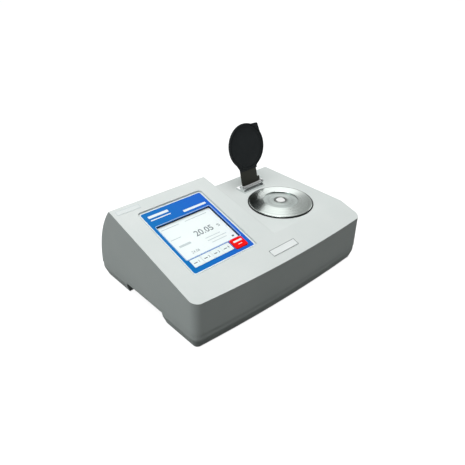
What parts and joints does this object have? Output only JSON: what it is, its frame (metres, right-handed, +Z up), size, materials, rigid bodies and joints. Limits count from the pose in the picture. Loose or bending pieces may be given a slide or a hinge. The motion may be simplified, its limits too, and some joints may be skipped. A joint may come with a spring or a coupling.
{
  "type": "bench refractometer",
  "caption": "Bench refractometer: console with a sloping display and keys, and a flat stage with a steel dish, prism and hinged lid.",
  "frame": {"origin": "on the bench, under the middle of the case", "axes": "+X to the right, +Y to the back, +Z up"},
  "size_m": [0.376, 0.26, 0.2169],
  "materials": {
    "case_paint": "fine satin texture paint, light grey",
    "rubber": "black moulded rubber",
    "screws": "zinc plated, satin",
    "panel_print": "blue printed polyester on a plastic sheet, white border",
    "touch_glass": "anti-glare cover over a pale reflective screen",
    "screen_case": "pale moulded plastic",
    "boards": "green solder mask",
    "power_boards": "brown phenolic board",
    "board_parts": "black moulded epoxy",
    "power_parts": "taped transformer and capacitors",
    "dome_steel": "sprung stainless domes",
    "start_key": "red moulded gloss",
    "soft_keys": "white film with grey numbers",
    "ribbon": "grey flat cable",
    "dish_steel": "lathe-turned stainless steel",
    "prism_glass": "polished optical glass",
    "block_brass": "machined",
    "thermo": "white ceramic",
    "sink": "extruded, natural",
    "tubes": "black anodised",
    "black_plastic": "black moulded plastic",
    "sheet": "satin anodised sheet",
    "pin_brass": "nickelled brass",
    "port_shell": "tinned steel shell",
    "hinge_steel": "polished stainless steel",
    "arm_steel": "dark bronze-grey finish",
    "lid_black": "black, satin",
    "plates": "bare label film"
  },
  "bodies": {
    "case": {"top_housing": "case_paint", "base_tray": "case_paint", "rubber_feet": "rubber", "housing_screws": "screws", "display_panel": "panel_print", "screen_gasket": "rubber", "touch_glass": "touch_glass", "screen_module": "screen_case", "display_board": "boards", "display_screws": "screws", "key_domes": "dome_steel", "key_board": "boards", "key_switch": "board_parts", "ribbon_cable": "ribbon", "main_board": "boards", "main_board_parts": "board_parts", "power_board": "power_boards", "power_board_parts": "power_parts", "board_screws": "screws", "dish_seal": "rubber", "sample_dish": "dish_steel", "sample_well": "dish_steel", "prism_collar": "dish_steel", "prism": "prism_glass", "prism_block": "block_brass", "thermo_modules": "thermo", "heat_sink": "sink", "source_tube": "tubes", "source_lens": "prism_glass", "source_board": "boards", "sensor_tube": "tubes", "sensor_lens": "prism_glass", "sensor_board": "boards", "fan_frame": "black_plastic", "fan_screws": "screws", "rear_panel": "sheet", "power_inlet": "black_plastic", "inlet_pins": "pin_brass", "switch_frame": "black_plastic", "fuse_holder": "black_plastic", "serial_ports": "port_shell", "port_screws": "screws", "hinge_bracket": "hinge_steel", "bracket_screws": "screws", "hinge_pin": "hinge_steel", "name_plate": "plates", "model_plate": "plates"},
    "lid": {"lid_arm": "arm_steel", "lid_disc": "lid_black", "lid_seal": "rubber", "lid_screws": "screws"},
    "start_key": {"start_key": "start_key"},
    "fan_rotor": {"fan_rotor": "black_plastic"},
    "power_rocker": {"power_rocker": "black_plastic"},
    "soft_key_1": {"soft_key_1": "soft_keys"},
    "soft_key_2": {"soft_key_2": "soft_keys"},
    "soft_key_3": {"soft_key_3": "soft_keys"},
    "soft_key_4": {"soft_key_4": "soft_keys"}
  },
  "joints": [
    {"name": "lid_hinge", "type": "hinge", "parent": "case", "child": "lid", "pos_m": [0.0995, 0.0625, 0.106], "axis": [1, 0, 0], "range_deg": [0, 105]},
    {"name": "start_press", "type": "slide", "parent": "case", "child": "start_key", "axis": [0, 0.2706, -0.9627], "range_m": [0, 0.0008], "stiffness_N_per_m": 900},
    {"name": "soft_press_1", "type": "slide", "parent": "case", "child": "soft_key_1", "axis": [0, 0.2706, -0.9627], "range_m": [0, 0.0004], "stiffness_N_per_m": 600},
    {"name": "soft_press_2", "type": "slide", "parent": "case", "child": "soft_key_2", "axis": [0, 0.2706, -0.9627], "range_m": [0, 0.0004], "stiffness_N_per_m": 600},
    {"name": "soft_press_3", "type": "slide", "parent": "case", "child": "soft_key_3", "axis": [0, 0.2706, -0.9627], "range_m": [0, 0.0004], "stiffness_N_per_m": 600},
    {"name": "soft_press_4", "type": "slide", "parent": "case", "child": "soft_key_4", "axis": [0, 0.2706, -0.9627], "range_m": [0, 0.0004], "stiffness_N_per_m": 600},
    {"name": "rocker_tilt", "type": "hinge", "parent": "case", "child": "power_rocker", "pos_m": [-0.082, 0.11263, 0.056], "axis": [-1, 0, 0], "range_deg": [0, 14]},
    {"name": "fan_spin", "type": "hinge", "parent": "case", "child": "fan_rotor", "pos_m": [0.0995, 0.09363, 0.057], "axis": [0, 1, 0], "continuous": true}
  ]
}
